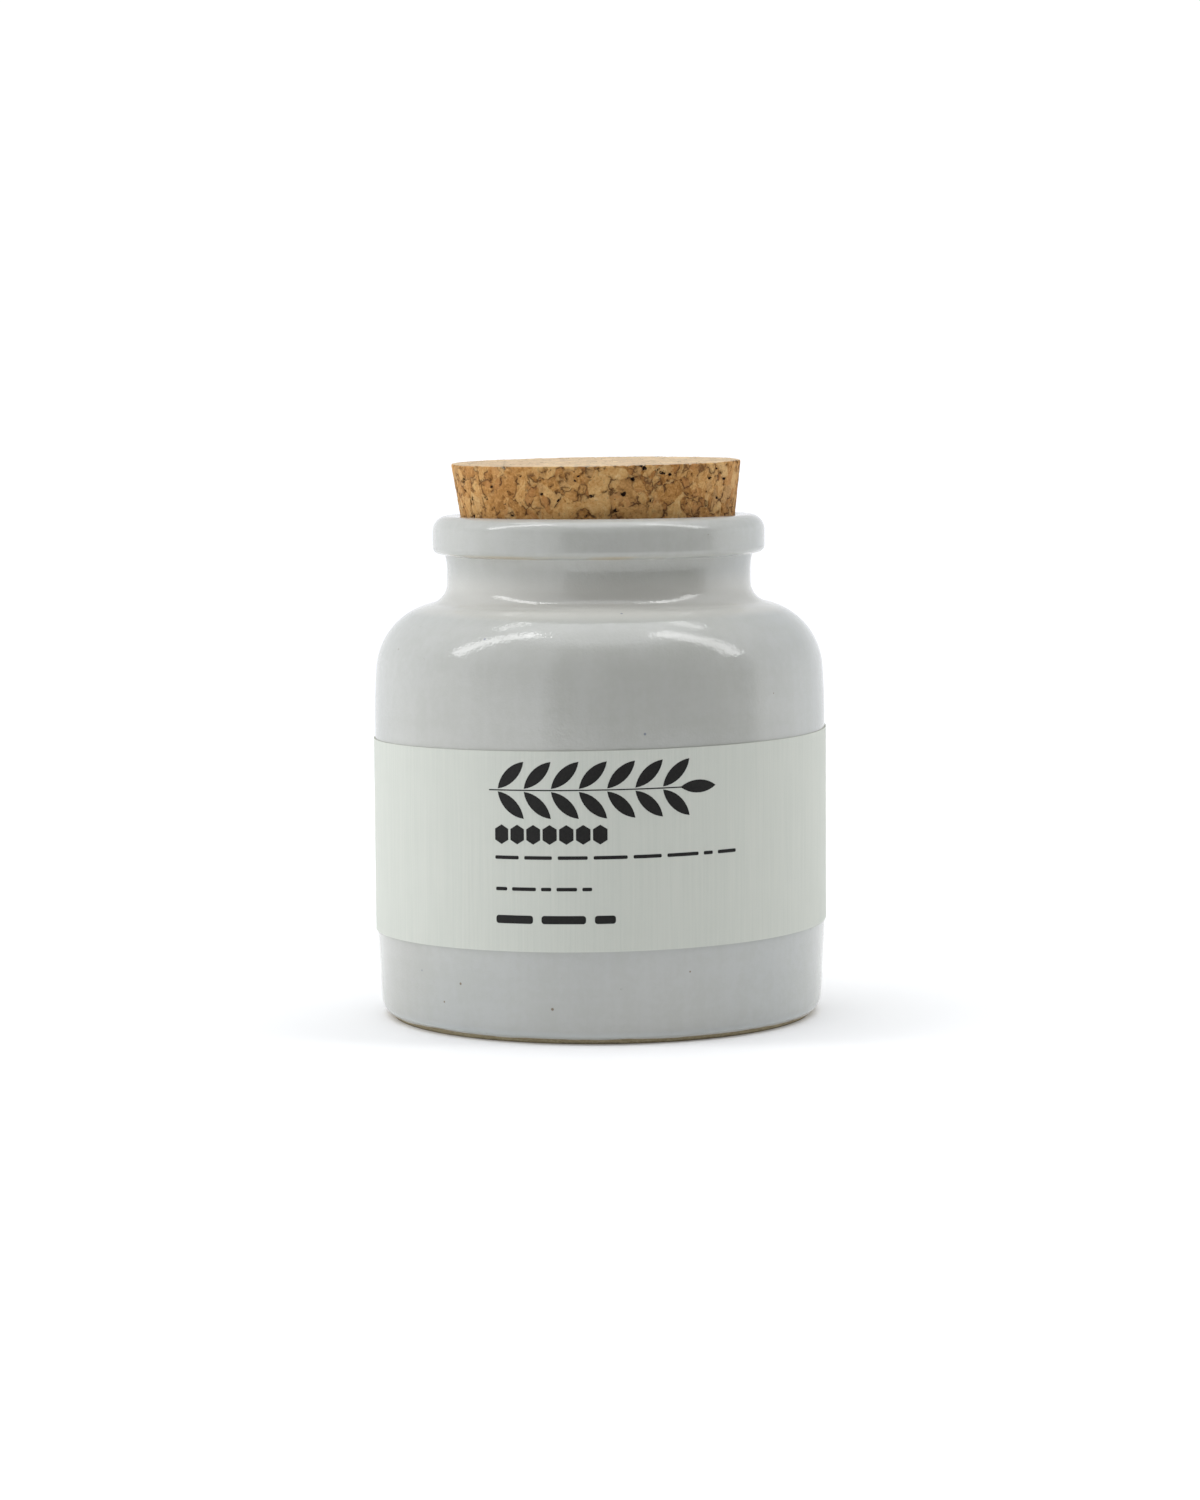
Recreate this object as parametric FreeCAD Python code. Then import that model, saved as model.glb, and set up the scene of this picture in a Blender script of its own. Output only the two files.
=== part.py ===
import FreeCAD, Part
import math
import os

# A glazed stoneware mustard pot: a turned jar with a rolled lip, a tapered cork pressed in
# a little askew, and a paper label wrapped round the belly with its ends lapped at the back.
# Millimetres, +Z up, origin at the centre of the foot. The front of the label faces -Y.

Vector = FreeCAD.Vector
AXIS_FOOT = Vector(0, 0, 0)
UP = Vector(0, 0, 1)
FRONT_DEG = -90.0                 # polar angle of the front, seen from above

# Jar, overall
body_d = 80.0                     # belly
jar_h = 88.75                     # foot to top of lip
mouth_d = 47.4                    # bore that holds the cork

# Jar, foot and heel
foot_in = 2.0                     # heel draws in this far from the wall to the foot
foot_up = 1.05                    # and this far up
foot_edge_r = 0.4
heel_r = 3.9
wall_lean = 3.0                   # degrees the wall flares below the belly
belt_bottom = 15.5                # height where the wall turns upright
wall_turn_r = 60.0
ring_w = 4.8                      # width of the foot ring
recess_h = 0.9                    # bare clay underside stands this far off the table
recess_r = 0.8

# Jar, shoulder
belly_lean = 4.5                  # degrees the wall leans in above the belly
belly_h = 13.6                    # height of the leaning stretch
belly_r = 113.0
shoulder_fall = 12.2              # degrees the shoulder falls away from the neck
shoulder_r = 12.3

# Jar, neck and lip
neck_wall = 3.25                  # thickness of the neck at its waist
neck_h = 7.9                      # foot of the neck to the underside of the lip
neck_foot_r = 3.75
neck_flare = 14.5                 # degrees the neck opens out under the lip
neck_flare_h = 1.2
neck_flare_r = 9.5
lip_h = 7.0
lip_reach = 2.5                   # lip stands this far out from the neck
lip_under = 14.5                  # degrees the underside of the lip rises outwards
lip_under_r = 1.2
lip_top_r = 2.7
lip_inner_r = 1.5

# Cork
cork_squeeze = 1.4                # cork is this much wider than the mouth, at the top of the lip
cork_taper = 8.0                  # degrees on each side
cork_rise = 9.5                   # stands above the lip
cork_depth = 10.0                 # reaches below the top of the lip
cork_lean = 1.9                   # degrees the cork leans to the left
cork_top_tilt = 0.5               # degrees its top face falls to the left
cork_top_nod = 0.8                # degrees its top face falls to the front
cork_edge_r = 0.4
cork_end_r = 0.8                  # rounding of its hidden narrow end
cork_clear = 0.05                 # between the cork and the wall of the mouth
cork_spare = 5.0                  # extra height that the slope cuts off the top
bore_floor_gap = 1.5              # under the cork

# Label
label_t = 0.22
label_low_margin = 0.7            # bare glaze from the upright wall's foot to the paper
label_top_margin = 2.9            # and from the paper to the upright wall's top
label_climb = 0.53                # rise of the band for each radian to the right
label_lap_deg = 12.0              # the outer end covers the inner end by this much
label_step_deg = 1.2              # stretch over which the outer end climbs the inner one
label_slit_deg = 0.3              # left open in front of the inner end
label_bite = 0.04                 # glue depth between the two layers
label_clear = 0.01                # glue under the paper
ramp_spare = 1.0                  # the ramp that trims the band overshoots it on both sides

# Worked out from the sizes above
body_r = body_d / 2
mouth_r = mouth_d / 2
neck_r = mouth_r + neck_wall
lip_r = neck_r + lip_reach
lip_foot_z = jar_h - lip_h
neck_foot_z = lip_foot_z - neck_h
shoulder_edge_r = body_r - belly_h * math.tan(math.radians(belly_lean))
shoulder_drop = (shoulder_edge_r - neck_r) * math.tan(math.radians(shoulder_fall))
shoulder_edge_z = neck_foot_z - shoulder_drop
belly_z = shoulder_edge_z - belly_h
belt_top = belly_z - belly_r * math.tan(math.radians(belly_lean / 2))
foot_r = body_r - belt_bottom * math.tan(math.radians(wall_lean)) - foot_in
label_bottom = belt_bottom + label_low_margin
label_h = belt_top - label_top_margin - label_bottom


def rounded_face(corners):
    """Face in the XZ plane inside corners (x, z, radius), each rounded by its radius."""
    points = [Vector(x, 0, z) for x, z, radius in corners]
    edges = []
    joints = []
    for i, (x, z, radius) in enumerate(corners):
        corner = points[i]
        back = (points[i - 1] - corner).normalize()
        ahead = (points[(i + 1) % len(points)] - corner).normalize()
        if radius == 0:
            joints.append((corner, corner))
            continue
        half = back.getAngle(ahead) / 2
        reach = radius / math.tan(half)
        inward = (back + ahead).normalize()
        crown = corner + inward * (radius / math.sin(half) - radius)
        start = corner + back * reach
        end = corner + ahead * reach
        edges.append(Part.Arc(start, crown, end).toShape())
        joints.append((start, end))
    for i, (start, end) in enumerate(joints):
        edges.append(Part.makeLine(joints[i - 1][1], start))
    return Part.Face(Part.Wire(Part.__sortEdges__(edges)))


def turned(corners):
    """Solid turned round the jar's axis from a rounded half section."""
    return rounded_face(corners).revolve(AXIS_FOOT, UP, 360)


def jar():
    """Foot ring, heel, upright belly, shoulder, necked collar and rolled lip."""
    ring_in_r = foot_r - ring_w
    wall_foot_r = foot_r + foot_in
    flare_top_r = neck_r + neck_flare_h * math.tan(math.radians(neck_flare))
    lip_side_z = lip_foot_z + (lip_r - flare_top_r) * math.tan(math.radians(lip_under))
    bore_floor_z = jar_h - cork_depth - bore_floor_gap
    return turned([
        (0, recess_h, 0),
        (ring_in_r - recess_h, recess_h, recess_r),
        (ring_in_r, 0, foot_edge_r),
        (foot_r, 0, foot_edge_r),
        (wall_foot_r + foot_up * math.tan(math.radians(wall_lean)), foot_up, heel_r),
        (body_r, belt_bottom, wall_turn_r),
        (body_r, belly_z, belly_r),
        (shoulder_edge_r, shoulder_edge_z, shoulder_r),
        (neck_r, neck_foot_z, neck_foot_r),
        (neck_r, lip_foot_z - neck_flare_h, neck_flare_r),
        (flare_top_r, lip_foot_z, 0),
        (lip_r, lip_side_z, lip_under_r),
        (lip_r, jar_h, lip_top_r),
        (mouth_r, jar_h, lip_inner_r),
        (mouth_r, bore_floor_z, 0),
        (0, bore_floor_z, 0),
    ])


def mouth_guard():
    """All the room above the bore's floor that the lip and the mouth leave to the cork."""
    guard_r = mouth_r - cork_clear
    outer_r = body_r
    low_z = jar_h - cork_depth - bore_floor_gap
    high_z = jar_h + cork_rise + 2 * cork_spare
    return turned([
        (0, low_z, 0),
        (guard_r, low_z, 0),
        (guard_r, jar_h + cork_clear, lip_inner_r + cork_clear),
        (outer_r, jar_h + cork_clear, 0),
        (outer_r, high_z, 0),
        (0, high_z, 0),
    ])


def cork():
    """Tapered stopper: leaning, cut off at a slope, and squeezed to the mouth below the lip."""
    slope = math.tan(math.radians(cork_taper))
    lip_level_r = mouth_r + cork_squeeze / 2
    end_r = lip_level_r - cork_depth * slope
    blank_rise = cork_rise + cork_spare
    stopper = turned([
        (0, -cork_depth, 0),
        (end_r, -cork_depth, cork_end_r),
        (lip_level_r + blank_rise * slope, blank_rise, 0),
        (0, blank_rise, 0),
    ])
    stopper.rotate(AXIS_FOOT, Vector(0, 1, 0), -cork_lean)
    kept = Part.makeBox(body_d, body_d, body_d, Vector(-body_r, -body_r, -body_d))
    kept.rotate(AXIS_FOOT, Vector(0, 1, 0), -cork_top_tilt)
    kept.rotate(AXIS_FOOT, Vector(1, 0, 0), cork_top_nod)
    kept.translate(Vector(0, 0, cork_rise))
    stopper = stopper.common(kept)
    rim = [edge for edge in stopper.Edges if edge.BoundBox.ZMin > 0]
    stopper = stopper.makeFillet(cork_edge_r, rim)
    stopper.translate(Vector(0, 0, jar_h))
    return stopper.common(mouth_guard()).Solids[0]


def band(inner_r, thickness, start_deg, end_deg):
    """Stretch of the paper band: what a climbing ramp keeps of a tube round the belly.

    The angles run to the right from the front, and the band rises that way.
    """
    outer_r = inner_r + thickness
    rise = label_climb * math.radians(end_deg - start_deg)
    tube = Part.makeCylinder(outer_r, label_h + rise)
    tube = tube.cut(Part.makeCylinder(inner_r, label_h + rise))
    near_r = inner_r - ramp_spare
    far_r = outer_r + ramp_spare
    corners = [(near_r, 0), (far_r, 0), (far_r, label_h), (near_r, label_h), (near_r, 0)]
    section = Part.makePolygon([Vector(x, 0, z) for x, z in corners])
    path = Part.makeHelix(2 * math.pi * label_climb, rise, inner_r)
    ramp = path.makePipeShell([section], True, True)
    strip = tube.common(ramp)
    strip.rotate(AXIS_FOOT, UP, FRONT_DEG + start_deg)
    strip.translate(Vector(0, 0, label_bottom + label_climb * math.radians(start_deg)))
    return strip


def label():
    """Paper band round the belly; its outer end laps over its inner end at the back."""
    inner_r = body_r + label_clear
    lap_r = inner_r + label_t - label_bite
    around = band(inner_r, label_t, -180, 180 - label_slit_deg)
    lap = band(lap_r, label_t + label_bite, 180 - label_step_deg, 180 + label_lap_deg)
    return around.fuse(lap).Solids[0]


os.makedirs("parts", exist_ok=True)
for node, make in {"jar": jar, "cork": cork, "label": label}.items():
    make().exportStep(f"parts/{node}.step")
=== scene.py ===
import math
import random
from contextlib import contextmanager
from types import SimpleNamespace

import bmesh
import bpy
from mathutils import Matrix, Vector


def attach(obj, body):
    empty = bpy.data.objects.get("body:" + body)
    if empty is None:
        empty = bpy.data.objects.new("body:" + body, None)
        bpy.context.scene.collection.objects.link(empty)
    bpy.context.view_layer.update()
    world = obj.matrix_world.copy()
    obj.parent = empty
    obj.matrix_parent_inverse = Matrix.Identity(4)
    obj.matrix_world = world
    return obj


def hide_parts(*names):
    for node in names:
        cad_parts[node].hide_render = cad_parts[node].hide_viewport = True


# Looks of a glazed stoneware mustard pot: the turned and glazed pot, the pressed cork
# in its mouth, the paper band round its belly and the black print on the band.
# Metres, +Z up, the middle of the print faces -Y. Sizes are written in millimetres times MM.

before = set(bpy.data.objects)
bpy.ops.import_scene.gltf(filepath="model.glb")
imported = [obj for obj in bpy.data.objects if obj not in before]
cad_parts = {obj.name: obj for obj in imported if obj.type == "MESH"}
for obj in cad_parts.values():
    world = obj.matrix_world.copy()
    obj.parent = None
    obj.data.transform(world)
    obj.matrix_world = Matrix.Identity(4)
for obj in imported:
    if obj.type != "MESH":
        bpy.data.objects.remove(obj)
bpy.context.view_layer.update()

MM = 0.001
AXIS = Vector((0, 0, 0))
UP = Vector((0, 0, 1))

# Pot
body_d = 80.0 * MM
jar_h = 88.75 * MM
mouth_d = 47.4 * MM
foot_in = 2.0 * MM                # heel draws in this far from the wall to the foot
foot_up = 1.05 * MM
foot_edge_r = 0.4 * MM
heel_r = 3.9 * MM
wall_lean = math.radians(3.0)     # wall flares below the belly
belt_bottom = 15.5 * MM           # height where the wall turns upright
wall_turn_r = 60.0 * MM
ring_w = 4.8 * MM                 # foot ring
recess_h = 0.9 * MM               # underside inside the ring stands this far off the table
recess_r = 0.8 * MM
belly_lean = math.radians(4.5)    # wall leans in above the belly
belly_h = 13.6 * MM
belly_r = 113.0 * MM
shoulder_fall = math.radians(12.2)
shoulder_r = 12.3 * MM
neck_wall = 3.25 * MM
neck_h = 7.9 * MM
neck_foot_r = 3.75 * MM
neck_flare = math.radians(14.5)
neck_flare_h = 1.2 * MM
neck_flare_r = 9.5 * MM
lip_h = 7.0 * MM
lip_reach = 2.5 * MM
lip_under = math.radians(14.5)
lip_under_r = 1.2 * MM
lip_top_r = 2.7 * MM
lip_inner_r = 1.5 * MM
pot_swell = 0.07 * MM             # unevenness of the wall
pot_run = 1.3 * MM                # longest straight step of the pot's section
pot_turns = 264                   # facets round the pot
pot_crease = math.radians(38)     # edges sharper than this stay crisp

# Glaze
glaze_t = 0.1 * MM                # bare clay lies this far under the glaze
glaze_line = 0.95 * MM            # height where the glaze stops
glaze_waver = 0.9 * MM            # and how far that line strays
glaze_edge = 0.12 * MM
glaze_relief = 0.035 * MM
glaze_ior = 1.58
speck_cells = 260.0               # for each metre, and three in ten hold a speck
pinhole_cells = 300.0

# Cork
cork_squeeze = 1.4 * MM           # how much wider than the mouth it is, level with the lip
cork_taper = math.radians(8.0)
cork_rise = 9.5 * MM
cork_depth = 10.0 * MM
cork_lean = math.radians(1.9)
cork_top_tilt = math.radians(0.5)
cork_top_nod = math.radians(0.8)
cork_edge_r = 0.35 * MM
cork_clear = 0.06 * MM
cork_spare = 5.0 * MM             # extra height before the top is cut off
cork_turns = 180                  # facets round the cork
cork_grid = 0.32 * MM             # fineness of the cork's skin
bore_floor_gap = 1.5 * MM
grain_cells = 0.26                # granules for each millimetre
crumb_cells = 0.62                # and where they are small
pit_cells = 0.62
granule_step = 0.06 * MM          # granules differ in height by up to this
crack_depth = 0.06 * MM
pit_depth = 0.5 * MM
chip_depth = 0.1 * MM
cork_relief = 0.16 * MM           # finer grain, as bump

# Paper band
paper_t = 0.22 * MM
paper_gap = 0.01 * MM             # glue under the paper
paper_low = 16.2 * MM
paper_h = 34.12 * MM
paper_climb = 0.53 * MM           # rise for each radian to the right
paper_lap = math.radians(12.0)    # outer end covers the inner end
paper_step = math.radians(1.2)    # stretch over which it climbs the inner end
paper_turn = math.radians(0.75)   # one facet of the band
paper_run = 1.1 * MM              # and its height
paper_press = 0.5 * MM            # the lap lies on the pot from this far above the strip's start
paper_crease = math.radians(30)
paper_relief = 0.03 * MM

# Print
ink_t = 0.03 * MM
ink_run = 0.8 * MM                # longest flat step of the print round the pot
ink_relief = 0.01 * MM
print_left = -18.5 * MM           # where the beads and the first line start

# Studio
light_reach = 1.2                 # soft boxes stand this far from the shoulder
room_glow = 0.69
room_tint = (0.985, 1.0, 1.03, 1)
room_gap_turn = math.radians(30)  # middle of the dark opening, to the right of the front
room_gap_half = math.radians(55.5)
room_gap_top = math.radians(56)
room_gap_soft = math.radians(5)
room_top_low = 0.82               # the ceiling brightens between these heights of the view
room_top_high = 0.96
room_top_glow = 1.35
room_side_near = math.radians(50)
room_side_full = math.radians(80)   # the side walls are brightest from here
room_side_fade = math.radians(112)  # to here
room_side_end = math.radians(142)
room_side_glow = 0.33
room_cove_top = 0.35              # the walls brighten below this height, towards the floor
room_cove_glow = 0.3
backdrop_glow = 1.1
floor_r = 0.45
floor_white = (0.82, 0.82, 0.82, 1)
floor_near = 0.06                 # the floor glows more between these distances from the pot
floor_far = 0.3
floor_glow_near = 0.14
floor_glow_far = 0.22
camera_place = Vector((0, -0.6852, 0.10962))
camera_tip = math.radians(84.76)
camera_turn = math.radians(-0.395)
camera_sensor = 36.0              # in millimetres, as is the lens
camera_lens = 92.56

# Worked out from the sizes above
body_r = body_d / 2
mouth_r = mouth_d / 2
neck_r = mouth_r + neck_wall
lip_r = neck_r + lip_reach
lip_foot_z = jar_h - lip_h
neck_foot_z = lip_foot_z - neck_h
shoulder_edge_r = body_r - belly_h * math.tan(belly_lean)
shoulder_edge_z = neck_foot_z - (shoulder_edge_r - neck_r) * math.tan(shoulder_fall)
belly_z = shoulder_edge_z - belly_h
foot_r = body_r - belt_bottom * math.tan(wall_lean) - foot_in
bore_floor_z = jar_h - cork_depth - bore_floor_gap
paper_r = body_r + paper_gap
print_r = paper_r + paper_t
lap_r = paper_r + paper_t + paper_gap


# ---------------------------------------------------------------- modelling by hand

def only(piece):
    """Makes a piece the active one, alone in the selection."""
    bpy.ops.object.select_all(action="DESELECT")
    piece.select_set(True)
    bpy.context.view_layer.objects.active = piece


def new_piece(name, add, **sizes):
    """The piece that an add operator makes, alone in the selection."""
    bpy.ops.object.select_all(action="DESELECT")
    add(**sizes)
    piece = bpy.context.object
    piece.name = name
    piece.data.name = name
    return piece


@contextmanager
def editing(piece):
    """Edit mode on one piece, with all of it selected."""
    only(piece)
    bpy.ops.object.mode_set(mode="EDIT")
    bpy.ops.mesh.select_mode(type="VERT")
    bpy.ops.mesh.select_all(action="SELECT")
    yield
    bpy.ops.object.mode_set(mode="OBJECT")


def pick(piece, wanted):
    """Selects the vertices whose place is wanted, in edit mode."""
    mesh = bmesh.from_edit_mesh(piece.data)
    for vertex in mesh.verts:
        vertex.select = wanted(vertex.co)
    mesh.select_flush_mode()
    bmesh.update_edit_mesh(piece.data)


def face_outwards():
    """Turns every face outwards, in edit mode."""
    bpy.ops.mesh.select_all(action="SELECT")
    bpy.ops.mesh.normals_make_consistent(inside=False)


def finish_with(piece, kind, **settings):
    """Adds a modifier and applies it."""
    only(piece)
    modifier = piece.modifiers.new(kind.title(), kind)
    for name, value in settings.items():
        setattr(modifier, name, value)
    bpy.ops.object.modifier_apply(modifier=modifier.name)


def run_to(start, end, longest):
    """Draws the straight run from start to end in steps no longer than that."""
    count = max(1, math.ceil((end - start).length / longest))
    for _ in range(count):
        bpy.ops.mesh.extrude_vertices_move(TRANSFORM_OT_translate={"value": (end - start) / count})


def drawn(name, corners, longest, closed=False, round_step=math.radians(9)):
    """Line in the XZ plane through corners (x, z, radius), each rounded by its radius."""
    no_length = 0.0001 * MM
    weld = 0.002 * MM
    line = new_piece(name, bpy.ops.mesh.primitive_plane_add, size=MM)
    points = [Vector((x, 0, z)) for x, z, radius in corners]
    pen = points[0] if corners[0][2] == 0 else (points[-1] + points[0]) / 2
    first = pen.copy()
    with editing(line):
        bpy.ops.mesh.merge(type="CENTER")
        bpy.ops.transform.translate(value=pen)
        for i, (_, _, radius) in enumerate(corners):
            corner = points[i]
            if radius == 0:
                if (corner - pen).length > no_length:
                    run_to(pen, corner, longest)
                pen = corner
                continue
            back = (points[i - 1] - corner).normalized()
            ahead = (points[(i + 1) % len(points)] - corner).normalized()
            half = back.angle(ahead) / 2
            start = corner + back * radius / math.tan(half)
            centre = corner + (back + ahead).normalized() * radius / math.sin(half)
            if (start - pen).length > no_length:
                run_to(pen, start, longest)
            turn = math.pi - 2 * half
            axis = (start - centre).cross(corner - centre).normalized()
            steps = max(2, math.ceil(turn / round_step), math.ceil(turn * radius / longest))
            bpy.ops.mesh.spin(steps=steps, angle=-turn, center=centre, axis=axis)
            pen = corner + ahead * radius / math.tan(half)
        if closed:
            run_to(pen, first, longest)
            bpy.ops.mesh.select_all(action="SELECT")
            bpy.ops.mesh.remove_doubles(threshold=weld)
    return line


def turned(name, corners, turns, longest):
    """Solid turned round the pot's axis from a rounded half section."""
    weld = 0.005 * MM
    solid = drawn(name, corners, longest)
    with editing(solid):
        bpy.ops.mesh.spin(steps=turns, angle=math.tau, center=AXIS, axis=UP)
        bpy.ops.mesh.select_all(action="SELECT")
        bpy.ops.mesh.remove_doubles(threshold=weld)
        bpy.ops.mesh.normals_make_consistent(inside=False)
    return solid


# ---------------------------------------------------------------- node trees

class Wire:
    """An output socket, with the arithmetic that can be done on it."""

    def __init__(self, bench, socket):
        self.bench = bench
        self.socket = socket

    def meet(self, operation, other, swapped=False):
        """Vector Math where either side is a vector or a colour, and otherwise Math."""
        pair = [other, self] if swapped else [self, other]
        if any(isinstance(part, Wire) and part.socket.type in ("VECTOR", "RGBA") for part in pair):
            return self.bench.vector(operation, *pair)
        return self.bench.number(operation, *pair)

    def __add__(self, other):
        return self.meet("ADD", other)

    def __radd__(self, other):
        return self.meet("ADD", other, True)

    def __sub__(self, other):
        return self.meet("SUBTRACT", other)

    def __rsub__(self, other):
        return self.meet("SUBTRACT", other, True)

    def __mul__(self, other):
        return self.meet("MULTIPLY", other)

    def __rmul__(self, other):
        return self.meet("MULTIPLY", other, True)

    def __truediv__(self, other):
        return self.meet("DIVIDE", other)

    def __rtruediv__(self, other):
        return self.meet("DIVIDE", other, True)

    def __gt__(self, other):
        return self.meet("GREATER_THAN", other)


class Bench:
    """A node tree, and the one way in which its nodes are made."""

    def __init__(self, tree):
        self.tree = tree

    def node(self, kind, settings=None, sockets=None, out=0):
        """New node: its settings first, then the values or links of its sockets."""
        node = self.tree.nodes.new(kind)
        for name, value in (settings or {}).items():
            if name == "stops":
                ramp = node.color_ramp
                for place, _ in value[1:-1]:
                    ramp.elements.new(place)
                for element, (place, colour) in zip(ramp.elements, value):
                    element.position = place
                    element.color = colour
            else:
                setattr(node, name, value)
        for name, value in (sockets or {}).items():
            if isinstance(value, Wire):
                self.tree.links.new(value.socket, node.inputs[name])
            else:
                node.inputs[name].default_value = value
        return Wire(self, node.outputs[out])

    def number(self, operation, *values):
        return self.node("ShaderNodeMath", {"operation": operation}, dict(enumerate(values)))

    def vector(self, operation, *values):
        sockets = {}
        for i, value in enumerate(values):
            sockets[i] = value if isinstance(value, (Wire, tuple, Vector)) else (value, value, value)
        return self.node("ShaderNodeVectorMath", {"operation": operation}, sockets)

    def scaled(self, way, length):
        return self.node("ShaderNodeVectorMath", {"operation": "SCALE"}, {0: way, "Scale": length})

    def dot(self, a, b):
        return self.node("ShaderNodeVectorMath", {"operation": "DOT_PRODUCT"}, {0: a, 1: b}, "Value")

    def split(self, place):
        """The three parts of a vector."""
        node = self.node("ShaderNodeSeparateXYZ", None, {0: place}).socket.node
        return [Wire(self, socket) for socket in node.outputs]

    def joined(self, x, y, z):
        return self.node("ShaderNodeCombineXYZ", None, {0: x, 1: y, 2: z})

    def outward(self, place):
        """Level way from the pot's axis to a place, of length 1."""
        x, y = self.split(place)[:2]
        return self.vector("NORMALIZE", self.joined(x, y, 0.0))

    def noise(self, place, scale, detail=2.0, rough=0.5, out="Fac"):
        sockets = {"Vector": place, "Scale": scale, "Detail": detail, "Roughness": rough}
        return self.node("ShaderNodeTexNoise", {"noise_dimensions": "3D"}, sockets, out)

    def jitter(self, place, scale, detail, reach):
        """Random shift of a place, by up to about half the reach each way."""
        return (self.noise(place, scale, detail, out="Color") - 0.5) * reach

    def cells(self, place, scale, feature="F1", out="Distance"):
        settings = {"voronoi_dimensions": "3D", "feature": feature}
        return self.node("ShaderNodeTexVoronoi", settings, {"Vector": place, "Scale": scale}, out)

    def ease(self, value, low, high, bottom=0.0, top=1.0):
        """Smooth rise from bottom to top as the value goes from low to high."""
        return self.node("ShaderNodeMapRange", {"interpolation_type": "SMOOTHSTEP", "clamp": True},
                         {"Value": value, "From Min": low, "From Max": high,
                          "To Min": bottom, "To Max": top})

    def between(self, value, low, full_low, full_high, high):
        """1 from full_low to full_high, easing off to 0 at low and at high."""
        return self.ease(value, low, full_low) * self.ease(value, high, full_high)

    def blend(self, share, a, b):
        """Colour a, or b where the share is 1."""
        node = self.node("ShaderNodeMix", {"data_type": "RGBA", "clamp_factor": True}).socket.node
        for socket, value in ((node.inputs[0], share), (node.inputs[6], a), (node.inputs[7], b)):
            if isinstance(value, Wire):
                self.tree.links.new(value.socket, socket)
            else:
                socket.default_value = value
        return Wire(self, node.outputs[2])

    def ramp(self, value, stops):
        return self.node("ShaderNodeValToRGB", {"stops": stops}, {"Fac": value}, "Color")

    def bump(self, height, depth):
        """Normal of a relief whose height runs from 0 to 1 over that depth in metres."""
        sockets = {"Height": height, "Distance": depth, "Strength": 1.0}
        return self.node("ShaderNodeBump", None, sockets, "Normal")


def linear(red, green, blue):
    """Colour given as 0 to 255 screen values."""
    parts = [value / 255 for value in (red, green, blue)]
    return tuple(v / 12.92 if v <= 0.04045 else ((v + 0.055) / 1.055) ** 2.4 for v in parts) + (1.0,)


def new_finish(name, build, **fixed):
    """Material whose build function gives what varies over it, and the rest is fixed."""
    material = bpy.data.materials.new(name)
    material.use_nodes = True
    tree = material.node_tree
    tree.nodes.clear()
    bench = Bench(tree)
    varying = build(bench, bench.node("ShaderNodeTexCoord", out="Object"))
    shader = bench.node("ShaderNodeBsdfPrincipled", None, {**fixed, **varying})
    output = tree.nodes.new("ShaderNodeOutputMaterial")
    tree.links.new(shader.socket, output.inputs["Surface"])
    return material


def relief(piece, name, shape):
    """Moves each point of a piece by the offset that shape works out, with Geometry Nodes."""
    tree = bpy.data.node_groups.new(name, "GeometryNodeTree")
    tree.interface.new_socket("Geometry", in_out="INPUT", socket_type="NodeSocketGeometry")
    tree.interface.new_socket("Geometry", in_out="OUTPUT", socket_type="NodeSocketGeometry")
    bench = Bench(tree)
    whole = bench.node("NodeGroupInput")
    offset = shape(bench, bench.node("GeometryNodeInputPosition"))
    moved = bench.node("GeometryNodeSetPosition", None, {"Geometry": whole, "Offset": offset})
    output = tree.nodes.new("NodeGroupOutput")
    tree.links.new(moved.socket, output.inputs[0])
    finish_with(piece, "NODES", node_group=tree)


# ---------------------------------------------------------------- pot

glaze_grey = linear(188, 189, 184)
glaze_pale = linear(196, 197, 192)
glaze_cold = linear(187, 192, 193)
glaze_warm = linear(201, 196, 187)
glaze_mottle = linear(174, 176, 166)
glaze_bead_highlight = linear(198, 205, 208)    # thick bead in which the glaze ends, with a painted pale bluish highlight
glaze_neck_light = linear(214, 213, 206)    # painted light in the hollow of the neck
glaze_thin = linear(196, 180, 150)    # on the lower edge of the lip
speck_brown = linear(118, 96, 66)
speck_blue = linear(124, 130, 146)
clay_tan = linear(150, 138, 108)
clay_pale = linear(184, 172, 140)
clay_groove = linear(132, 118, 90)
clay_under_glaze_shade = linear(112, 98, 74)        # painted shade just under the glaze


def pot_section():
    """Corners (r, z, radius) from the middle of the underside to the floor of the mouth."""
    ring_in_r = foot_r - ring_w
    flare_top_r = neck_r + neck_flare_h * math.tan(neck_flare)
    lip_side_z = lip_foot_z + (lip_r - flare_top_r) * math.tan(lip_under)
    return [
        (0, recess_h, 0),
        (ring_in_r - recess_h, recess_h, recess_r),
        (ring_in_r, 0, foot_edge_r),
        (foot_r, 0, foot_edge_r),
        (foot_r + foot_in + foot_up * math.tan(wall_lean), foot_up, heel_r),
        (body_r, belt_bottom, wall_turn_r),
        (body_r, belly_z, belly_r),
        (shoulder_edge_r, shoulder_edge_z, shoulder_r),
        (neck_r, neck_foot_z, neck_foot_r),
        (neck_r, lip_foot_z - neck_flare_h, neck_flare_r),
        (flare_top_r, lip_foot_z, 0),
        (lip_r, lip_side_z, lip_under_r),
        (lip_r, jar_h, lip_top_r),
        (mouth_r, jar_h, lip_inner_r),
        (mouth_r, bore_floor_z, 0),
        (0, bore_floor_z, 0),
    ]


def glaze_cover(bench, place):
    """1 where glaze lies, 0 on bare clay: the glaze stops at a slightly wavy line by the foot."""
    x, y, z = bench.split(place)
    waver = bench.noise(bench.joined(x, y, 0.0), 95.0, 2.0) - 0.5
    line = glaze_line + waver * glaze_waver
    return bench.ease(z - line, -glaze_edge, glaze_edge)


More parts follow.
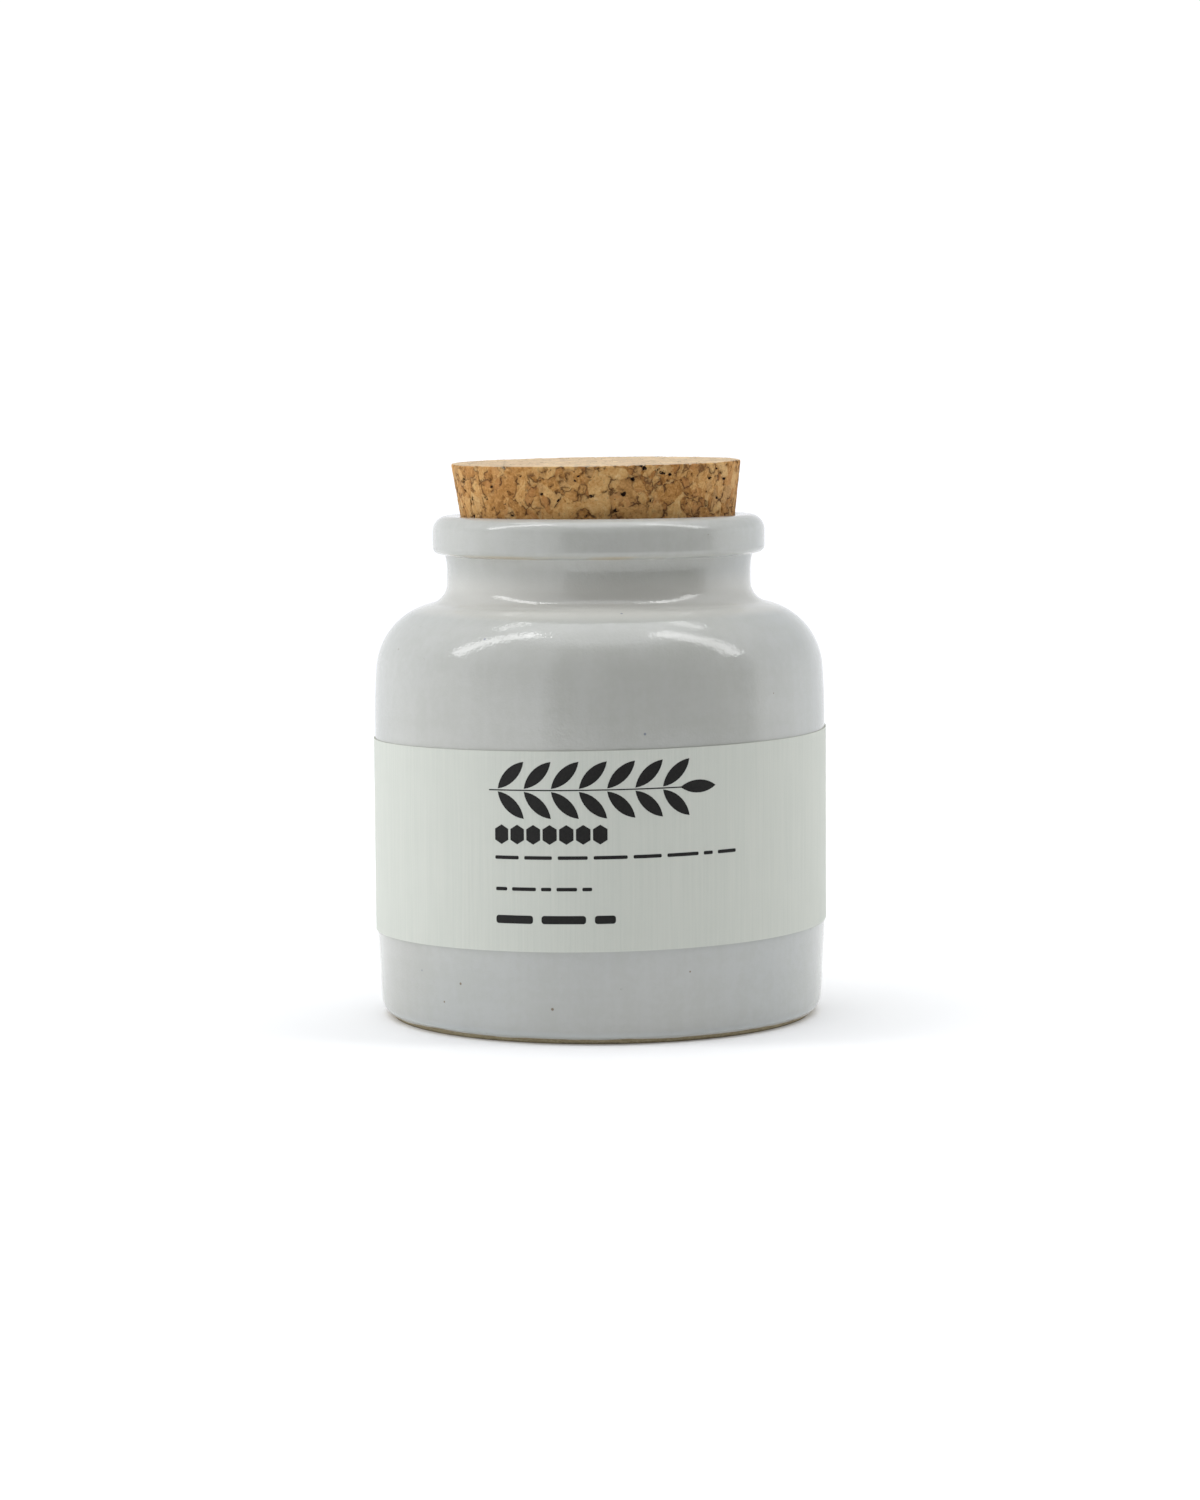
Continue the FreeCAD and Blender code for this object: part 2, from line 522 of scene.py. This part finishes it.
def wall_swell(bench, place):
    """Low swells that the wheel left in the wall, none at the foot."""
    clear = bench.ease(bench.split(place)[2], 0.0, 4 * MM)
    return (bench.noise(place, 28.0, 1.0) - 0.5) * clear * pot_swell


def pot_unevenness(bench, place):
    """The wall's swells, and the step from the glaze down to the clay."""
    x, y = bench.split(bench.node("GeometryNodeInputNormal"))[:2]
    step = (glaze_cover(bench, place) - 1.0) * glaze_t
    return bench.scaled(bench.joined(x, y, 0.0), wall_swell(bench, place) + step)


def glaze_specks(bench, place):
    """1 on the specks in the glaze, and the colour of each."""
    far = bench.cells(place, speck_cells)
    chance, size, hue = bench.split(bench.cells(place, speck_cells, out="Color"))
    speck = bench.ease(far / (0.3 + size * 0.6), 0.1, 0.05) * (chance > 0.7)
    return speck, bench.blend(hue > 0.65, speck_brown, speck_blue)


def glaze_pinholes(bench, place):
    """1 in the few pinholes of the glaze."""
    far = bench.cells(place, pinhole_cells)
    chance = bench.split(bench.cells(place, pinhole_cells, out="Color"))[0]
    return bench.ease(far, 0.07, 0.02) * (chance > 0.85)


def glaze_look(bench, place):
    """Colour, roughness and height of the glaze, with its runs and specks, painted light in the hollow
    of the neck and a painted highlight on the bead at its foot.
    """
    z = bench.split(place)[2]
    cloud = bench.ease(bench.noise(place, 38.0, 3.0), 0.3, 0.7)
    cold = bench.ease(bench.noise(place, 14.0, 1.0), 0.4, 0.62)
    warm = bench.ease(bench.noise(place, 7.0, 1.0), 0.55, 0.8)
    drips = bench.noise(place * (1.0, 1.0, 0.12), 330.0, 3.0, 0.6)
    rings = bench.noise(place * (0.12, 0.12, 1.0), 420.0, 2.0)
    mottle = bench.noise(place, 760.0, 3.0, 0.6)
    uneven = bench.ease(drips * 0.4 + rings * 0.25 + mottle * 0.35, 0.6, 0.4)
    roll = bench.between(z, glaze_line, glaze_line + 0.5 * MM,
                         glaze_line + 0.6 * MM, glaze_line + 1.6 * MM)
    # painted light: the hollow at the foot of the neck is given a lighter glaze tone
    neck_light = bench.between(z, neck_foot_z - 2.4 * MM, neck_foot_z - 1.0 * MM,
                         neck_foot_z + 1.8 * MM, lip_foot_z - 1.4 * MM)
    lip_edge = bench.between(z, lip_foot_z - 0.1 * MM, lip_foot_z + 0.2 * MM,
                             lip_foot_z + 0.4 * MM, lip_foot_z + 0.8 * MM)
    thin = lip_edge * bench.ease(bench.noise(place, 90.0, 3.0), 0.4, 0.6)
    speck, speck_colour = glaze_specks(bench, place)
    colour = bench.blend(cloud, glaze_grey, glaze_pale)
    colour = bench.blend(cold * 0.5, colour, glaze_cold)
    colour = bench.blend(warm * 0.35, colour, glaze_warm)
    colour = bench.blend(uneven * 0.22, colour, glaze_mottle)
    # painted highlight: pale bluish tone on the bead where the glaze ends
    colour = bench.blend(roll * 0.3, colour, glaze_bead_highlight)
    colour = bench.blend(neck_light * 0.85, colour, glaze_neck_light)
    colour = bench.blend(speck * 0.8, colour, speck_colour)
    colour = bench.blend(thin * 0.7, colour, glaze_thin)
    rough = 0.045 + bench.ease(mottle, 0.4, 0.8) * 0.03 + speck * 0.15
    peel = bench.noise(place, 210.0, 2.0) * 0.6 + bench.noise(place, 70.0, 1.0)
    ripple = bench.noise(place, 1900.0, 1.0, 0.6)
    height = peel + ripple * 0.9 + roll * 3.5 - glaze_pinholes(bench, place) * 2.2
    return colour, rough, height


def clay_look(bench, place, bare):
    """Colour, roughness and height of the gritty clay, with grooves from its turning and painted shade
    just under the glaze edge.
    """
    z = bench.split(place)[2]
    grit = bench.noise(place, 1700.0, 3.0, 0.7)
    grooves = bench.noise(place * (0.1, 0.1, 1.0), 3200.0, 2.0)
    # painted shade on the bare clay just under the glaze edge
    shade_under_glaze = bench.ease(z, glaze_line - 0.5 * MM, glaze_line) * bare
    colour = bench.blend(bench.ease(grit, 0.3, 0.7), clay_tan, clay_pale)
    colour = bench.blend(bench.ease(grooves, 0.42, 0.58) * 0.35, colour, clay_groove)
    colour = bench.blend(shade_under_glaze * 0.5, colour, clay_under_glaze_shade)
    return colour, 0.78 + 0.1 * grit, grit * 1.4 + grooves


def glaze_finish(bench, place):
    """Pale grey glaze with specks and pinholes, over tan clay that shows at the foot."""
    cover = glaze_cover(bench, place)
    bare = 1.0 - cover
    glaze, glaze_rough, glaze_height = glaze_look(bench, place)
    clay, clay_rough, clay_height = clay_look(bench, place, bare)
    return {"Base Color": bench.blend(cover, clay, glaze),
            "Roughness": glaze_rough * cover + bare * clay_rough,
            "Normal": bench.bump(glaze_height * cover + clay_height * bare, glaze_relief)}


def make_pot():
    """The pot, turned from its section."""
    pot = turned("pot", pot_section(), pot_turns, pot_run)
    relief(pot, "pot unevenness", pot_unevenness)
    with editing(pot):
        face_outwards()
    bpy.ops.object.shade_smooth_by_angle(angle=pot_crease)
    pot.data.materials.append(new_finish("pale grey glaze", glaze_finish, IOR=glaze_ior))
    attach(pot, "root")
    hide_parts("jar")


# ---------------------------------------------------------------- cork

cork_tones = [
    (0.22, linear(134, 88, 40)),
    (0.38, linear(180, 128, 68)),
    (0.52, linear(205, 154, 92)),
    (0.68, linear(221, 178, 116)),
    (0.9, linear(236, 206, 154)),
]
cork_rust = linear(176, 116, 64)
cork_pale = linear(212, 180, 130)
cork_halo = linear(118, 78, 38)
cork_crack = linear(78, 46, 20)
cork_dot = linear(104, 68, 34)
# near-black painted shade in the pits
cork_pit_shade = linear(42, 25, 12)
# pale dust and painted sheen on the top
cork_dust_and_sheen = linear(217, 212, 192)


def granules(bench, place):
    """Pressed cork: each granule's random colour, the gaps between granules, and the open pits."""
    mm = place * (1 / MM)
    bent = mm + bench.jitter(mm, 0.35, 1.0, 2.4) + bench.jitter(mm, 1.7, 3.0, 0.9)
    crumbs = bench.ease(bench.noise(mm, 0.17, 1.0), 0.50, 0.53)
    grain_kind = bench.cells(bent, grain_cells, out="Color")
    grain_gap = bench.cells(bent, grain_cells, "DISTANCE_TO_EDGE") / grain_cells
    crumb_kind = bench.cells(bent, crumb_cells, out="Color")
    crumb_gap = bench.cells(bent, crumb_cells, "DISTANCE_TO_EDGE") / crumb_cells
    kind = bench.blend(crumbs, grain_kind, crumb_kind)
    gap = grain_gap * (1.0 - crumbs) + crumb_gap * crumbs
    torn = bent * (1.0, 1.0, 1.6) + bench.jitter(mm, 2.6, 2.0, 0.9)
    pit_far = bench.cells(torn, pit_cells)
    chance, size = bench.split(bench.cells(torn, pit_cells, out="Color"))[:2]
    pit_r = 0.12 + size * size * 0.24
    pit = bench.ease(pit_far / pit_r, 1.15, 0.75) * (chance > 0.4) * bench.ease(gap, 0.9, 0.5)
    return SimpleNamespace(mm=mm, bent=bent, kind=kind, gap=gap, pit=pit, crumbs=crumbs)


def cork_shape(bench, place):
    """Granules stand a little apart in height, with gaps and pits sunk between them."""
    grain = granules(bench, place)
    step = bench.split(grain.kind)[1]
    crack = bench.ease(grain.gap, 0.2, 0.0)
    depth = step * granule_step + crack * crack_depth + grain.pit * pit_depth
    depth = depth + bench.noise(grain.mm, 2.4, 3.0) * chip_depth
    bare = bench.ease(bench.split(place)[2], jar_h - 0.3 * MM, jar_h + 0.5 * MM)
    return bench.scaled(bench.node("GeometryNodeInputNormal"), depth * bare * -1.0)


def cork_finish(bench, place):
    """Tan granules of near tones with fine grain, some brown gaps, pits darkened with painted shade, and
    dust and painted sheen on the top.
    """
    grain = granules(bench, place)
    tone, step, lean = bench.split(grain.kind)
    along = bench.dot(grain.bent, (grain.kind - 0.5) * 2.0)
    streaks = bench.noise(bench.joined(along * 2.6, step * 40.0, tone * 40.0), 1.0, 3.0, 0.6)
    fine = bench.noise(grain.mm, 2.6, 3.0, 0.6)
    soft = bench.noise(grain.bent, 0.9, 2.0)
    mottled = 0.52 + (tone - 0.5) * 0.26 + (streaks - 0.5) * 0.4
    mottled = mottled + (fine - 0.5) * 0.5 + (soft - 0.5) * 0.35
    rust = bench.ease(lean, 0.66, 0.9) * bench.ease(soft, 0.3, 0.55)
    pale = bench.ease(lean, 0.22, 0.06)
    marked = bench.ease(bench.noise(grain.mm, 0.5, 1.0), 0.44, 0.6)
    crack = bench.ease(grain.gap, 0.15, 0.03) * marked
    halo = bench.ease(grain.gap, 0.7, 0.05) * marked
    dots = bench.ease(bench.noise(grain.bent, 2.0, 2.0), 0.6, 0.7)
    colour = bench.ramp(mottled, cork_tones)
    colour = bench.blend(rust * 0.55, colour, cork_rust)
    colour = bench.blend(pale * 0.3, colour, cork_pale)
    colour = bench.blend(halo * 0.36, colour, cork_halo)
    colour = bench.blend(crack * (0.8 - grain.crumbs * 0.25), colour, cork_crack)
    colour = bench.blend(dots * 0.4, colour, cork_dot)
    # painted shade: the pits, which are real hollows, are coloured near-black
    colour = bench.blend(grain.pit, colour, cork_pit_shade)
    # dust and painted sheen: faces turned upward are made paler, as light falls on them from above
    facing_up = bench.split(bench.node("ShaderNodeNewGeometry", out="Normal"))[2]
    top = bench.ease(facing_up, 0.5, 0.95) * (1.0 - grain.pit * 0.6)
    dust_and_sheen = bench.blend(0.5, colour, cork_dust_and_sheen)
    colour = bench.blend(top * 0.95, colour, dust_and_sheen)
    height = fine * 0.6 + streaks * 0.3 - crack * 0.8 - grain.pit
    return {"Base Color": colour, "Roughness": 0.72 + fine * 0.2,
            "Normal": bench.bump(height, cork_relief)}


def mouth_guard():
    """All the room that the lip and the mouth leave to the cork."""
    guard_r = mouth_r - cork_clear
    low_z = bore_floor_z + MM
    lip_z = jar_h + cork_clear
    high_z = jar_h + cork_rise + 2 * cork_spare
    return turned("mouth_guard", [
        (0, low_z, 0),
        (guard_r, low_z, 0),
        (guard_r, lip_z, lip_inner_r + cork_clear),
        (body_r, lip_z, 0),
        (body_r, high_z, 0),
        (0, high_z, 0),
    ], cork_turns, body_d)


def make_cork():
    """A cone that leans, cut off at a slope and squeezed to the mouth, then skinned with granules."""
    lip_level_r = mouth_r + cork_squeeze / 2
    blank_rise = cork_rise + cork_spare
    slope = math.tan(cork_taper)
    cork = new_piece("stopper", bpy.ops.mesh.primitive_cone_add, vertices=cork_turns,
                     radius1=lip_level_r - cork_depth * slope,
                     radius2=lip_level_r + blank_rise * slope,
                     depth=cork_depth + blank_rise,
                     location=(0, 0, jar_h + (blank_rise - cork_depth) / 2))
    bpy.ops.object.transform_apply(location=True, rotation=False, scale=False)
    lip_level = Vector((0, 0, jar_h))
    top_way = Matrix.Rotation(cork_top_nod, 3, "X") @ Matrix.Rotation(-cork_top_tilt, 3, "Y") @ UP
    with editing(cork):
        bpy.ops.transform.rotate(value=cork_lean, orient_axis="Y", center_override=lip_level)
        bpy.ops.mesh.select_all(action="SELECT")
        bpy.ops.mesh.bisect(plane_co=lip_level + UP * cork_rise, plane_no=top_way,
                            use_fill=True, clear_outer=True)
        pick(cork, lambda place: place.z > jar_h + cork_rise / 2)
        bpy.ops.mesh.bevel(offset=cork_edge_r, segments=3, affect="EDGES")
    guard = mouth_guard()
    finish_with(cork, "BOOLEAN", operation="INTERSECT", object=guard, solver="EXACT")
    bpy.data.objects.remove(guard)
    finish_with(cork, "REMESH", mode="VOXEL", voxel_size=cork_grid)
    relief(cork, "cork granules", cork_shape)
    bpy.ops.object.shade_smooth()
    dull = {"Specular IOR Level": 0.2}
    cork.data.materials.append(new_finish("pressed cork", cork_finish, **dull))
    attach(cork, "root")
    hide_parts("cork")


# ---------------------------------------------------------------- paper band

paper_grey = linear(209, 213, 204)
paper_pale = linear(215, 218, 209)
paper_edge_shade = linear(172, 172, 158)     # painted shade on the edges of the sheet


def paper_finish(bench, place):
    """Pale greenish cream laid paper: upright ribs, faint fibres, a slightly cloudy sheet and painted
    shade on its cut edges.
    """
    x, y, z = bench.split(place)
    around = bench.number("ARCTAN2", x, y * -1.0) * (body_r / MM)
    up = z / MM
    sheet = bench.joined(around, up, 0.0)
    wander = (bench.noise(bench.joined(around * 0.15, up * 0.05, 0.0), 1.0, 1.0) - 0.5) * 0.4
    rib = bench.noise(bench.joined(around + wander, up * 0.02, 0.0), 2.3, 1.0, 0.6)
    band = bench.noise(bench.joined(around + wander, up * 0.01, 7.0), 0.5, 2.0, 0.6)
    fibre = bench.noise(sheet, 5.0, 4.0, 0.7)
    cloud = bench.noise(sheet, 0.12, 2.0)
    tone = rib * 0.44 + band * 0.14 + fibre * 0.22 + cloud * 0.2
    colour = bench.blend(bench.ease(tone, 0.34, 0.66), paper_grey, paper_pale)
    flat_way = bench.node("ShaderNodeNewGeometry", out="True Normal")
    facing = bench.dot(flat_way, bench.outward(place))
    # painted shade on the cut edges of the sheet, whose faces do not face outward
    cut = bench.ease(bench.number("ABSOLUTE", facing), 0.6, 0.3)
    colour = bench.blend(cut * 0.6, colour, paper_edge_shade)
    return {"Base Color": colour, "Roughness": 0.62 + fibre * 0.15,
            "Normal": bench.bump(rib + fibre * 0.35, paper_relief)}


def follow_wall(bench, place):
    """The paper and its print follow the swells of the wall that they lie on."""
    return bench.scaled(bench.outward(place), wall_swell(bench, place))


def go_on(turn, grow):
    """Extrudes the end of the strip onward round the pot by a turn, and out by a factor."""
    bpy.ops.mesh.extrude_region_move(TRANSFORM_OT_translate={"value": (0, 0, paper_climb * turn)})
    bpy.ops.transform.rotate(value=-turn, orient_axis="Z", center_override=AXIS)
    bpy.ops.transform.resize(value=(grow, grow, 1), center_override=AXIS)


def make_band():
    """A strip that climbs as it goes round and laps over its own start, pressed down above it."""
    strip = new_piece("paper_band", bpy.ops.mesh.primitive_plane_add, size=MM)
    start = -math.pi
    around = math.tau - paper_step
    end = start + around
    foot = Vector((paper_r * math.sin(start), -paper_r * math.cos(start),
                   paper_low + paper_climb * start))
    with editing(strip):
        bpy.ops.mesh.merge(type="CENTER")
        bpy.ops.transform.translate(value=foot)
        run_to(foot, foot + UP * paper_h, paper_run)
    steps = round(around / paper_turn)
    finish_with(strip, "SCREW", axis="Z", angle=around, screw_offset=paper_climb * around,
                steps=steps, render_steps=steps, use_merge_vertices=False)
    with editing(strip):
        pick(strip, lambda place: abs(math.atan2(place.x, -place.y) - end) < paper_turn / 4)
        go_on(paper_step, lap_r / paper_r)
        for _ in range(round(paper_lap / paper_turn)):
            go_on(paper_turn, 1.0)
        start_top_z = foot.z + paper_h
        pick(strip, lambda place: place.z > start_top_z + paper_press
             and math.hypot(place.x, place.y) > paper_r + paper_t / 2)
        bpy.ops.transform.resize(value=(paper_r / lap_r, paper_r / lap_r, 1), center_override=AXIS)
        face_outwards()
    finish_with(strip, "SOLIDIFY", thickness=paper_t, offset=1.0)
    relief(strip, "paper on the wall", follow_wall)
    bpy.ops.object.shade_smooth_by_angle(angle=paper_crease)
    strip.data.materials.append(new_finish("laid paper", paper_finish))
    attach(strip, "root")
    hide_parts("label")


# ---------------------------------------------------------------- print

ink_black = linear(20, 19, 18)
ink_worn = linear(31, 30, 28)


def flat_shape(name, corners):
    """Filled outline in the XZ plane."""
    shape = drawn(name, corners, ink_run, closed=True)
    with editing(shape):
        bpy.ops.mesh.edge_face_add()
    return shape


def bar(name, x, z, length, height, round_r):
    """Bar with rounded corners whose lower left corner is at (x, z)."""
    return flat_shape(name, [(x, z, round_r), (x + length, z, round_r),
                             (x + length, z + height, round_r), (x, z + height, round_r)])


def leaf_shape(length, bulge):
    """Leaf along +X from the origin, with an arc on each side that rounds off a corner."""
    nearly = 0.998                # the arcs stop a hair short of the leaf's ends
    half = length / 2
    round_r = half * math.hypot(half, bulge) / bulge * nearly
    return flat_shape("leaf", [(0, 0, 0), (half, -bulge, round_r),
                               (length, 0, 0), (half, bulge, round_r)])


def copied(shape, turn, x, z):
    """Copy with its own mesh, turned in the XZ plane and placed."""
    only(shape)
    bpy.ops.object.duplicate(linked=False)
    copy = bpy.context.object
    with editing(copy):
        bpy.ops.transform.rotate(value=turn, orient_axis="Y", center_override=AXIS)
        bpy.ops.transform.translate(value=(x, 0, z))
    return copy


def wrapped(bench, place):
    """Bends the flat print round the band: x goes round it, and y stands off it."""
    x, y, z = bench.split(place)
    turn = x / print_r
    reach = print_r + ink_t * 0.25 - y
    bent = bench.joined(reach * bench.number("SINE", turn), reach * bench.number("COSINE", turn) * -1.0,
                        z + turn * paper_climb)
    return bent - place


def ink_finish(bench, place):
    """Near-black ink, a little uneven where it soaks into the paper."""
    soak = bench.noise(place, 2600.0, 3.0, 0.6)
    return {"Base Color": bench.blend(bench.ease(soak, 0.35, 0.7), ink_black, ink_worn),
            "Roughness": 0.5 + soak * 0.2, "Normal": bench.bump(soak, ink_relief)}


def printed(name, shapes):
    """Joins flat shapes, gives them the ink's thickness and wraps them on the band."""
    ink = shapes[0]
    only(ink)
    for shape in shapes:
        shape.select_set(True)
    bpy.ops.object.join()
    ink.name = name
    ink.data.name = name
    left = min(vertex.co.x for vertex in ink.data.vertices)
    right = max(vertex.co.x for vertex in ink.data.vertices)
    count = math.ceil((right - left) / ink_run)
    with editing(ink):
        for i in range(1, count):
            bpy.ops.mesh.select_all(action="SELECT")
            bpy.ops.mesh.bisect(plane_co=(left + (right - left) * i / count, 0, 0), plane_no=(1, 0, 0))
        face_outwards()
    finish_with(ink, "SOLIDIFY", thickness=ink_t, offset=0.0)
    relief(ink, name + " wrap", wrapped)
    relief(ink, name + " wall", follow_wall)
    with editing(ink):
        face_outwards()
    dull = {"Specular IOR Level": 0.3}
    ink.data.materials.append(new_finish("black ink", ink_finish, **dull))
    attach(ink, "root")


def make_sprig():
    """Head of the print: a hairline stem with pairs of leaves, in place of a name."""
    stem_z = 43.7 * MM
    stem_t = 0.2 * MM
    left = -19.6 * MM
    right = 20.4 * MM
    pairs = 7
    first_pair = 0.35             # of a pitch from the left end
    leaf_l = 6.6 * MM
    leaf_bulge = 2.5 * MM
    leaf_off = 0.25 * MM          # leaves start this far from the middle of the stem
    lean = math.radians(44)
    leaf = leaf_shape(leaf_l, leaf_bulge)
    shapes = [bar("stem", left, stem_z - stem_t / 2, right - left - leaf_l * 0.8, stem_t, stem_t / 4)]
    pitch = (right - left - leaf_l) / pairs
    for i in range(pairs):
        foot_x = left + pitch * (i + first_pair)
        for side in (1, -1):
            shapes.append(copied(leaf, side * lean, foot_x, stem_z + side * leaf_off))
    shapes.append(copied(leaf, 0.0, right - leaf_l, stem_z))
    bpy.data.objects.remove(leaf)
    printed("print_sprig", shapes)


def make_beads():
    """Row of six-sided beads under the sprig."""
    low = 34.5 * MM
    bead_w = 2.45 * MM
    bead_h = 3.35 * MM
    pitch = 2.87 * MM
    point = 0.75 * MM             # height of a bead's upper and lower points
    count = 7
    bead = flat_shape("bead", [(0, point, 0), (bead_w / 2, 0, 0), (bead_w, point, 0),
                               (bead_w, bead_h - point, 0), (bead_w / 2, bead_h, 0),
                               (0, bead_h - point, 0)])
    shapes = [copied(bead, 0.0, print_left + i * pitch, low) for i in range(count)]
    bpy.data.objects.remove(bead)
    printed("print_beads", shapes)


def dashes(left, right, low, height, shortest, longest, space, seed):
    """Broken line of rounded bars."""
    draw = random.Random(seed)
    shapes = []
    x = left
    while x < right - shortest / 2:
        length = min(draw.uniform(shortest, longest), right - x)
        shapes.append(bar("dash", x, low, length, height, height * 0.35))
        x += length + space
    return shapes


def make_lines():
    """Thin and bold broken lines, as plain as ruled filling."""
    lower_left = -18.4 * MM
    thin_h = 0.6 * MM
    bold_h = 1.4 * MM
    shapes = dashes(print_left, 26.0 * MM, low=31.95 * MM, height=thin_h,
                    shortest=1.6 * MM, longest=6.0 * MM, space=1.0 * MM, seed=5)
    shapes += dashes(lower_left, -0.2 * MM, low=26.6 * MM, height=thin_h,
                     shortest=1.4 * MM, longest=4.4 * MM, space=0.9 * MM, seed=8)
    shapes += dashes(lower_left, 2.5 * MM, low=21.0 * MM, height=bold_h,
                     shortest=6.0 * MM, longest=9.0 * MM, space=1.5 * MM, seed=3)
    printed("print_lines", shapes)


# ---------------------------------------------------------------- studio

def floor_finish(bench, place):
    """White sheet that glows, more away from the pot, until it can't be told from the room."""
    far = bench.node("ShaderNodeVectorMath", {"operation": "LENGTH"}, {0: place}, "Value")
    glow = bench.ease(far, floor_near, floor_far, floor_glow_near, floor_glow_far)
    return {"Emission Color": bench.joined(glow, glow, glow)}


def studio_floor():
    """Round white sheet under the pot."""
    floor = new_piece("floor", bpy.ops.mesh.primitive_circle_add, vertices=128, radius=floor_r,
                      fill_type="NGON")
    with editing(floor):
        bpy.ops.mesh.inset(thickness=floor_r / 3)
    fixed = {"Base Color": floor_white, "Roughness": 0.9, "Emission Strength": 1.0}
    floor.data.materials.append(new_finish("white floor", floor_finish, **fixed))


def soft_box(name, azimuth, height, size, roll, glow):
    """Area light that looks at the pot from an azimuth and a height angle, in degrees."""
    light = bpy.data.lights.new(name, "AREA")
    light.shape = "RECTANGLE"
    light.size, light.size_y = size
    light.energy = glow * math.pi * size[0] * size[1]
    lamp = bpy.data.objects.new(name, light)
    bpy.context.scene.collection.objects.link(lamp)
    turn = math.radians(azimuth)
    rise = math.radians(height)
    way = Vector((math.sin(turn) * math.cos(rise), -math.cos(turn) * math.cos(rise), math.sin(rise)))
    facing = (-way).to_track_quat("-Z", "Y").to_matrix().to_4x4()
    place = Matrix.Translation(Vector((0, 0, shoulder_edge_z)) + way * light_reach)
    lamp.matrix_world = place @ facing @ Matrix.Rotation(math.radians(roll), 4, "Z")
    lamp.visible_camera = False


def white_room(bench):
    """White walls, a brighter ceiling, and one dark opening low at the front where the camera stands."""
    x, y, z = bench.split(bench.node("ShaderNodeTexCoord", out="Generated"))
    turn = bench.number("ARCTAN2", x, y * -1.0)
    off = bench.number("ABSOLUTE", turn - room_gap_turn)
    aside = bench.number("ABSOLUTE", turn)
    beside = bench.ease(off, room_gap_half - room_gap_soft, room_gap_half + room_gap_soft)
    above = bench.ease(bench.number("ARCSINE", z), room_gap_top - room_gap_soft * 2,
                       room_gap_top + room_gap_soft * 2)
    walls = 1.0 - (1.0 - beside) * (1.0 - above)
    sides = beside * bench.between(aside, room_side_near, room_side_full,
                                   room_side_fade, room_side_end)
    ceiling = bench.ease(z, room_top_low, room_top_high)
    cove = beside * bench.ease(z, room_cove_top, 0.0)
    lit = walls * room_glow + sides * room_side_glow
    lit = lit + ceiling * room_top_glow + cove * room_cove_glow
    seen = bench.node("ShaderNodeLightPath", out="Is Camera Ray")
    return lit * (1.0 - seen) + seen * backdrop_glow


def studio_light():
    """White room with a tall soft strip at each side and two soft panels behind."""
    world = bpy.data.worlds.new("white room")
    bpy.context.scene.world = world
    world.use_nodes = True
    tree = world.node_tree
    background = tree.nodes["Background"]
    background.inputs["Color"].default_value = room_tint
    tree.links.new(white_room(Bench(tree)).socket, background.inputs["Strength"])
    soft_box("left strip", azimuth=-85.4, height=50.4, size=(0.19, 0.97), roll=-4.0, glow=4.5)
    soft_box("right strip", azimuth=80.4, height=50.2, size=(0.23, 0.98), roll=1.5, glow=4.4)
    for name, azimuth in (("left back panel", -140.0), ("right back panel", 140.0)):
        soft_box(name, azimuth, height=62.0, size=(0.50, 0.08), roll=0.0, glow=2.8)


def camera():
    """Camera in front of the pot, a little above its cork."""
    optics = bpy.data.cameras.new("camera")
    optics.sensor_width = camera_sensor
    optics.sensor_fit = "AUTO"
    optics.lens = camera_lens
    body = bpy.data.objects.new("camera", optics)
    bpy.context.scene.collection.objects.link(body)
    turn = Matrix.Rotation(camera_tip, 4, "X") @ Matrix.Rotation(camera_turn, 4, "Z")
    body.matrix_world = Matrix.Translation(camera_place) @ turn
    bpy.context.scene.camera = body


make_pot()
make_cork()
make_band()
make_sprig()
make_beads()
make_lines()
studio_floor()
studio_light()
camera()
bpy.context.scene.view_settings.view_transform = "Standard"
